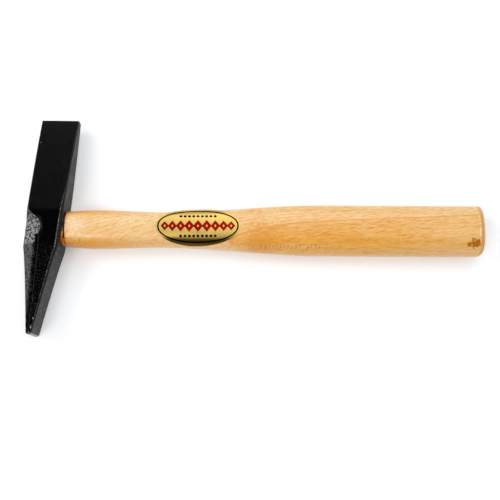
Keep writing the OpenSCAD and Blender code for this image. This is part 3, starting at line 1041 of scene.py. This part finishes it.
darker_neck_edges = add_node(tree, "Math", [darker_neck_edges, neck_edges_near], operation="MULTIPLY")
dirt = add_node(tree, "TexNoise", {"Vector": place, "Scale": 1 / dirt_size, "Detail": 3.0})
dirt = add_node(tree, "MapRange", [dirt, 0.58, 0.66, 0, 1])
dirt_near = add_node(tree, "MapRange", [xyz["X"], *dirt_reach, 0, 1])
dirt_low = add_node(tree, "MapRange", [xyz["Y"], *dirt_down, 0, 1])
for share in (dirt_near, dirt_low):
    dirt = add_node(tree, "Math", [dirt, share], operation="MULTIPLY")
print("Nodes up to the dirt:", len(tree.nodes))

# %% [markdown]
# Lacquer gathers at the rim of the butt and at the shoulder, and past the butt's rim
# the end darkens. The thin bright lines where these rims catch the light are painted
# highlights: a ridge of geometry would be under a tenth of a millimetre high, so each
# is drawn as a short broken pale line across the handle.
# millimetre high, so each is drawn as a short broken line across the handle.
# %% Painted highlights on the lacquer
highlight_lines = ((255.75, 0.03, -6.5, 8.5), (12.2, -0.03, -4.5, 2.0))
highlight_fade = 1.5
highlight_half = (0.34, 0.1)
rim_from = (255.9, 256.4)
painted_highlights = 0.0
for at, slant, low, high in highlight_lines:
    off = add_node(tree, "Math", [xyz["Y"], -slant, xyz["X"]], operation="MULTIPLY_ADD")
    off = add_node(tree, "Math", [off, at], operation="SUBTRACT")
    off = add_node(tree, "Math", [off], operation="ABSOLUTE")
    highlight_line = add_node(tree, "MapRange", [off, *highlight_half, 0, 1])
    for nothing, full in ((low, low + highlight_fade), (high, high - highlight_fade)):
        fade = add_node(tree, "MapRange", [xyz["Y"], nothing, full, 0, 1])
        highlight_line = add_node(tree, "Math", [highlight_line, fade], operation="MULTIPLY")
    painted_highlights = add_node(tree, "Math", [painted_highlights, highlight_line], operation="MAXIMUM")
gaps = add_node(tree, "MapRange", [blot, 0.42, 0.52, 0.15, 1])
painted_highlights = add_node(tree, "Math", [painted_highlights, gaps], operation="MULTIPLY")
butt_rim = add_node(tree, "MapRange", [xyz["X"], *rim_from, 0, 1])
print("Ridges:", len(highlight_lines))

# %% [markdown]
# On the neck, where the plank is cut another way, the long flecks are faint, and in the
# grip both kinds are deepest below the strong ring. Then each mark is laid on the wood
# with its strength and its tint, the broad ones first. A colour ramp could hold them
# all, but in a list each one can be made stronger by itself.
# %% Colours of the beech
fleck_depth = add_node(tree, "MapRange", [below_ring, 0.25, 0.55, 0.7, 1.5])
neck_depths = (0.4, 1.2)
for i, neck_depth in enumerate(neck_depths):
    depth = add_node(tree, "MapRange", [in_grip, 0, 1, neck_depth, fleck_depth])
    flecks[i] = add_node(tree, "Math", [flecks[i], depth], operation="MULTIPLY")
wood_marks = ((marks["streak"], 0.45, 0.7, 0.28, "#f0a41c"), (marks["shine"], 0.5, 0.3, 0.15, "#fae4b8"),
              (late_wood, 0, 1, 0.25, "#ea9c10"), (spots["warm_zone"], 0, 1, 0.55, "#e0902c"),
              (marks["fibre"], 0.5, 0.66, 0.32, "#f0a010"), (flecks[0], 0, 1.5, 0.95, "#e08600"),
              (flecks[1], 0, 1.5, 0.85, "#d87a00"), (ring_line, 0, 1, 0.7, "#e29400"),
              (wave, 0, 1, 0.85, "#d07c00"), (end, 0, 1, 0.3, "#c4853a"),
              (butt_rim, 0, 1, 0.45, "#d88414"), (darker_neck_edges, 0, 1, 0.75, "#ec9a18"),
              (shoulder, 0, 1, 0.5, "#d98210"), (spots["painted_sheen"], 0, 1, 0.4, "#ffeedc"),
              (stain, 0, 1, 1.0, "#ae6600"), (dirt, 0, 1, 0.8, "#5c3000"),
              (painted_highlights, 0, 1, 0.75, "#fff0d2"))
layers = [(warmth, "#ebac46")]
for mark, low, high, strength, tint in wood_marks:
    layers.append((add_node(tree, "MapRange", [mark, low, high, 0, strength]), tint))
colour = layered(tree, "#f9e1b2", layers)
print("Layers of wood colour:", len(layers))

# %% [markdown]
# Clear lacquer gives the beech a satin shine: its pores stay a little open, and they
# break up the gloss. The stain is a thick glassy run. A separate coat over the wood
# would shine in the same way, so the one shader does for both.
# %% Put the beech together
pore_depth = 0.02 * MM
bump = add_node(tree, "Bump", {"Strength": 0.5, "Distance": pore_depth, "Height": marks["pore"]})
rough = add_node(tree, "MapRange", [marks["pore"], 0.3, 0.7, 0.26, 0.38])
rough = add_node(tree, "MapRange", [stain, 0, 1, rough, 0.12])
shader = add_node(tree, "BsdfPrincipled", {"Base Color": colour, "Roughness": rough, "Normal": bump,
                                           "IOR": 1.5})
add_node(tree, "OutputMaterial", [shader])
print("Beech:", len(tree.nodes), "nodes")

# %% [markdown]
# The handle's mesh stores the place in the plank and where end grain shows. An image
# could hold them, but a value at each point needs no unwrapping.
# %% Finish the handle
end_from, end_soft = 0.6, 0.3


def end_grain_share(point, normal):
    """1 where the surface is cut across the fibres."""
    return ease((abs(normal.x) - end_from) / end_soft)


handle = finish_piece(handle_bm, "beech_handle", beech, "beech", "handle")
layer = handle.data.attributes.new("grain", "FLOAT_VECTOR", "POINT")
for vert, item in zip(handle.data.vertices, layer.data):
    item.vector = grain_at(Vector((vert.co.x, vert.co.y, vert.co.z - axis_z)) / MM)
write_share(handle, "end_grain", end_grain_share)

# %% [markdown]
# The wooden wedge is sawn from a darker hardwood and shows end grain: rows of pores
# across a rough face, which the eye sees as a matt brown. The beech could be used
# again, but here it is cut across. Its pores are drawn 0.45 mm apart, about twice the
# real distance, so that they show.
# %% Sawn wedge wood
saw_rows = (0.3, 2.2, 1.0)
pore_apart = 0.45
wedge_wood, tree = new_material("sawn_hardwood_wedge")
place = place_on(tree)
rows = add_node(tree, "VectorMath", [place, saw_rows], operation="MULTIPLY")
rows = add_node(tree, "TexNoise", {"Vector": rows, "Scale": 1.0, "Detail": 3.0})
pores = add_node(tree, "TexVoronoi", {"Vector": place, "Scale": 1 / pore_apart})
pores = add_node(tree, "MapRange", [pores, 0.35, 0.15, 0, 0.8])
colour = layered(tree, "#c0935c", [(rows, "#8f6334"), (pores, "#5a3c1e")])
bump = add_node(tree, "Bump", {"Strength": 1.0, "Distance": 0.08 * MM, "Height": rows})
shader = add_node(tree, "BsdfPrincipled", {"Base Color": colour, "Roughness": 0.7, "Normal": bump})
add_node(tree, "OutputMaterial", [shader])
print("Wedge wood:", len(tree.nodes), "nodes")

# %% [markdown]
# The steel wedge is sheared from bar, so its face is bare metal, scored one way, with a
# little rust begun in it. The scores could be cut, but a noise drawn out one way gives
# the same glint. Rust is no metal: where it lies, the shine goes.
# %% Cut wedge steel
shear_scores = (0.5, 3.0, 0.3)
rust_size = 1.5
wedge_steel, tree = new_material("cut_steel_wedge")
place = place_on(tree)
scores = add_node(tree, "VectorMath", [place, shear_scores], operation="MULTIPLY")
scores = add_node(tree, "TexNoise", {"Vector": scores, "Scale": 1.0, "Detail": 3.0})
rust = add_node(tree, "TexNoise", {"Vector": place, "Scale": 1 / rust_size, "Detail": 4.0})
rust = add_node(tree, "MapRange", [rust, 0.55, 0.65, 0, 0.8])
colour = layered(tree, "#a3a4a6", [(scores, "#737579"), (rust, "#6b4a33")])
rough = add_node(tree, "MapRange", [rust, 0, 0.8, 0.35, 0.75])
metal = add_node(tree, "MapRange", [rust, 0, 0.8, 1, 0])
bump = add_node(tree, "Bump", {"Strength": 1.0, "Distance": 0.03 * MM, "Height": scores})
shader = add_node(tree, "BsdfPrincipled", {"Base Color": colour, "Roughness": rough, "Metallic": metal,
                                           "Normal": bump})
add_node(tree, "OutputMaterial", [shader])
print("Wedge steel:", len(tree.nodes), "nodes")

# %% [markdown]
# The wedges could end as they were driven, but a fitter files them flush with the tenon.
# So both are cut a little under the head's far side, and the wooden one is slotted for
# the steel one that crosses it.
# %% Finish the wedges
wood_bm = trimmed(wedge_form(**wood_wedge), recess)
wood_bm = combined(wood_bm, wedge_form(grow=wedge_fit, across=True, **steel_wedge), "DIFFERENCE")
finish_piece(wood_bm, "wooden_wedge", wedge_wood, "wedge_wood", "wood_wedge")
steel_bm = trimmed(wedge_form(across=True, **steel_wedge), recess)
finish_piece(steel_bm, "cross_wedge", wedge_steel, "wedge_steel", "steel_wedge")

# %% [markdown]
# Lacquer ran into the gap between the head and the shoulder and set there as a bead. A
# torus would be too even. The handle's own oval is pulled out over a few steps that
# swell and shrink, and noise then makes the surface uneven.
# %% Lacquer bead
lacquer_inset = 0.3
bead_steps = ((8.8, -0.5), (9.4, -0.2), (10.0, 0.0), (10.6, 0.0), (11.2, -0.05), (11.6, -0.1), (12.0, -0.3))
ripple, ripple_size = 0.25, 2.5
neck_w, neck_t = (half - lacquer_inset for half in half_sizes(tenon_start))
bead_bm = bmesh.new()
first_x, first_grow = bead_steps[0]
face = oval_section(bead_bm, first_x, neck_w + first_grow, neck_t + first_grow)
for (x0, grow0), (x1, grow1) in zip(bead_steps, bead_steps[1:]):
    swell = (1, (neck_w + grow1) / (neck_w + grow0), (neck_t + grow1) / (neck_t + grow0))
    face = extruded(bead_bm, face, (x1 - x0, 0, 0), swell)
bmesh.ops.recalc_face_normals(bead_bm, faces=bead_bm.faces)
for vert in bead_bm.verts:
    vert.co += vert.normal * ripple * noise.noise(vert.co / ripple_size)
print("Bead:", len(bead_bm.faces), "faces")

# %% [markdown]
# Hardened amber lacquer is glossy, so the eye sees a honey edge with small highlights,
# and black paint from the head is smeared into it: more on the blade's side and away
# from the head. It could be clear with a true depth, but it is thin, and a coat of
# colour looks the same.
# %% Amber lacquer
smear_form = (1.2, 0.35, 0.6)
smeared_up, smeared_out = (-8.0, 1.0), (11.8, 10.4)
amber, tree = new_material("amber_lacquer")
place = place_on(tree)
xyz = add_node(tree, "SeparateXYZ", [place]).node.outputs
smear = add_node(tree, "VectorMath", [place, smear_form], operation="MULTIPLY")
smear = add_node(tree, "TexNoise", {"Vector": smear, "Scale": 1.0, "Detail": 4.0, "Roughness": 0.6})
paint_up = add_node(tree, "MapRange", [xyz["Y"], *smeared_up, -0.02, 0.2])
paint_out = add_node(tree, "MapRange", [xyz["X"], *smeared_out, 0.12, -0.06])
for shift in (paint_up, paint_out):
    smear = add_node(tree, "Math", [smear, shift], operation="ADD")
smear = add_node(tree, "MapRange", [smear, 0.53, 0.57, 0, 1], **SMOOTH)
shader = add_node(tree, "BsdfPrincipled", {"Base Color": layered(tree, "#d88000", [(smear, "#100803")]),
                                           "Roughness": 0.15, "IOR": 1.5, "Specular IOR Level": 0.3})
add_node(tree, "OutputMaterial", [shader])
finish_piece(bead_bm, "lacquer_bead", amber, "amber_lacquer", "eye_lacquer")

# %% [markdown]
# The label is a thin foil oval pressed on the waist. It could be cut from the handle's
# surface, but then its rim would follow the handle's faces. So it is a disc of its own,
# laid over the handle's oval by a height for each place.
# %% Sizes of the label
label_at = 88.6
label_mid = 0.39
label_half_len = 24.5
label_half_high = 11.1
label_thick = 0.12
label_lift = 1.3
label_gap = 0.03
label_power = 2.2
label_rings = 22
label_sides = 96


def label_height(x, y):
    """How high the foil lies over the axis. Its upper half is on a wider oval."""
    half_w, half_t = (along(x, sizes) / 2 + label_gap + label_thick for sizes in (widths, thicknesses))
    half_w += label_lift if y > 0 else 0
    return half_t * (1 - min(abs(y) / half_w, 1) ** section_power) ** (1 / section_power)


print("The label's middle lies", round(label_height(label_at, label_mid), 2), "mm over the axis")

# %% [markdown]
# The disc grows ring by ring from its middle, as a foil is rubbed down. A grid cut to an
# oval would have a jagged rim. Each point keeps its place in the flat disc as the plan
# of the label, from which the print is drawn, and is then moved over the waist.
# %% Grow the label
label_bm = bmesh.new()
bmesh.ops.create_circle(label_bm, cap_ends=True, cap_tris=True, segments=label_sides,
                        radius=1 / label_rings)
rim = [edge for edge in label_bm.edges if edge.is_boundary]
for ring in range(1, label_rings):
    made = bmesh.ops.extrude_edge_only(label_bm, edges=rim)["geom"]
    verts = [part for part in made if isinstance(part, bmesh.types.BMVert)]
    grow = (ring + 1) / ring
    bmesh.ops.scale(label_bm, verts=verts, vec=Vector((grow, grow, 1)))
    rim = [part for part in made if isinstance(part, bmesh.types.BMEdge) and part.is_boundary]
for edge in rim:
    edge.smooth = False
plan = label_bm.loops.layers.uv.new("plan")
for vert in label_bm.verts:
    turn = math.atan2(vert.co.y, vert.co.x)
    fuller = [math.copysign(abs(part) ** (2 / label_power), part) * vert.co.length
              for part in (math.cos(turn), math.sin(turn))]
    for loop in vert.link_loops:
        loop[plan].uv = fuller
    x, y = label_at + fuller[0] * label_half_len, label_mid + fuller[1] * label_half_high
    vert.co = (x, y, label_height(x, y))
print("Label:", len(label_bm.faces), "faces")

# %% [markdown]
# The foil carries a black ring line and a plain ornament. A drawn picture could be laid
# on it, but a few formulas stay sharp at any size: the ring lies between two ovals, and
# a lozenge is where the distances along and across, each as a share of its half size,
# add up to under 1.
# %% Printed shapes
foil, tree = new_material("printed_gold_foil")
plan_at = add_node(tree, "SeparateXYZ", [add_node(tree, "UVMap", uv_map="plan")]).node.outputs
u = add_node(tree, "Math", [plan_at["X"], label_half_len], operation="MULTIPLY")
v = add_node(tree, "Math", [plan_at["Y"], label_half_high], operation="MULTIPLY")


def inside(tree, middle, half_size, power):
    """1 inside a shape and its mirror images about the label. Power 1 is a lozenge, 2 an ellipse."""
    parts = []
    for at, mid, half in zip((u, v), middle, half_size):
        off = add_node(tree, "Math", [at], operation="ABSOLUTE")
        off = add_node(tree, "Math", [off, mid], operation="SUBTRACT")
        off = add_node(tree, "Math", [off], operation="ABSOLUTE")
        share = add_node(tree, "Math", [off, half], operation="DIVIDE")
        parts.append(add_node(tree, "Math", [share, power], operation="POWER"))
    total = add_node(tree, "Math", parts, operation="ADD")
    return add_node(tree, "Math", [total, 1.0], operation="LESS_THAN")


print("Nodes for places on the label:", len(tree.nodes))

# %% [markdown]
# The ornament is a row of red lozenges with gold hearts and black outlines, between
# two rows of black dots. Every shape is mirrored about the label's middle, so a few
# places from there outward are enough.
# %% Print on the foil
ring_half, ring_print = (23.7, 9.75), 0.9
lozenges = ((0.0, 2.3, 3.0), (5.1, 2.3, 3.0), (10.1, 2.2, 2.8), (14.9, 2.1, 2.6), (19.3, 1.8, 2.2))
outline = 0.55
heart = (0.6, 0.85)
dots, dot_half, dot_up, dot_power = (0.0, 2.5, 5.0, 7.5, 10.0), (0.95, 0.8), 5.9, 1.5
ring_inner = tuple(half - ring_print for half in ring_half)
black = add_node(tree, "Math", [inside(tree, (0, 0), ring_half, label_power),
                                inside(tree, (0, 0), ring_inner, label_power)], operation="SUBTRACT")
red = 0.0
for at, half_len, half_high in lozenges:
    gold_heart = inside(tree, (at, 0), heart, 1.0)
    around = inside(tree, (at, 0), (half_len + outline, half_high + outline), 1.0)
    around = add_node(tree, "Math", [around, gold_heart], operation="SUBTRACT")
    black = add_node(tree, "Math", [black, around], operation="MAXIMUM")
    lozenge = inside(tree, (at, 0), (half_len, half_high), 1.0)
    lozenge = add_node(tree, "Math", [lozenge, gold_heart], operation="SUBTRACT")
    red = add_node(tree, "Math", [red, lozenge], operation="MAXIMUM")
for at in dots:
    dot = inside(tree, (at, dot_up), dot_half, dot_power)
    black = add_node(tree, "Math", [black, dot], operation="MAXIMUM")
print("Printed shapes:", 2 * len(lozenges) - 1, "lozenges and", 4 * len(dots) - 2, "dots")

# %% [markdown]
# Satin gold foil is a metal with soft, wide highlights, a little uneven in tone. Its
# colour is painted dark along its lower rim and dimmer along the upper one, as painted
# shade where it bends away. Its thickness comes from a Solidify modifier, which keeps
# the mesh simple.
# %% Finish the label
satin_size = 6.0
lower_rim, upper_rim = (-4.2, -8.5), (7.0, 10.5)
place = place_on(tree)
satin = add_node(tree, "TexNoise", {"Vector": place, "Scale": 1 / satin_size, "Detail": 2.0})
# Painted shade: darker toward the lower rim and dimmer toward the upper one.
painted_dark_lower_rim = add_node(tree, "MapRange", [v, *lower_rim, 0, 1], **SMOOTH)
painted_dim_upper_rim = add_node(tree, "MapRange", [v, *upper_rim, 0, 0.6], **SMOOTH)
colour = layered(tree, "#fad681", [(satin, "#f0c466"), (painted_dark_lower_rim, "#5a430f"), (painted_dim_upper_rim, "#b89a5c"),
                                   (black, "#0c0906"), (red, "#c00c07")])
rough = add_node(tree, "MapRange", [satin, 0.3, 0.7, 0.3, 0.38])
shader = add_node(tree, "BsdfPrincipled", {"Base Color": colour, "Metallic": 1.0, "Roughness": rough})
add_node(tree, "OutputMaterial", [shader])
print("Foil:", len(tree.nodes), "nodes")
label = finish_piece(label_bm, "foil_label_oval", foil, "gold_foil", "foil_label")
thickness = label.modifiers.new("foil", "SOLIDIFY")
thickness.thickness = label_thick * MM
thickness.offset = -1
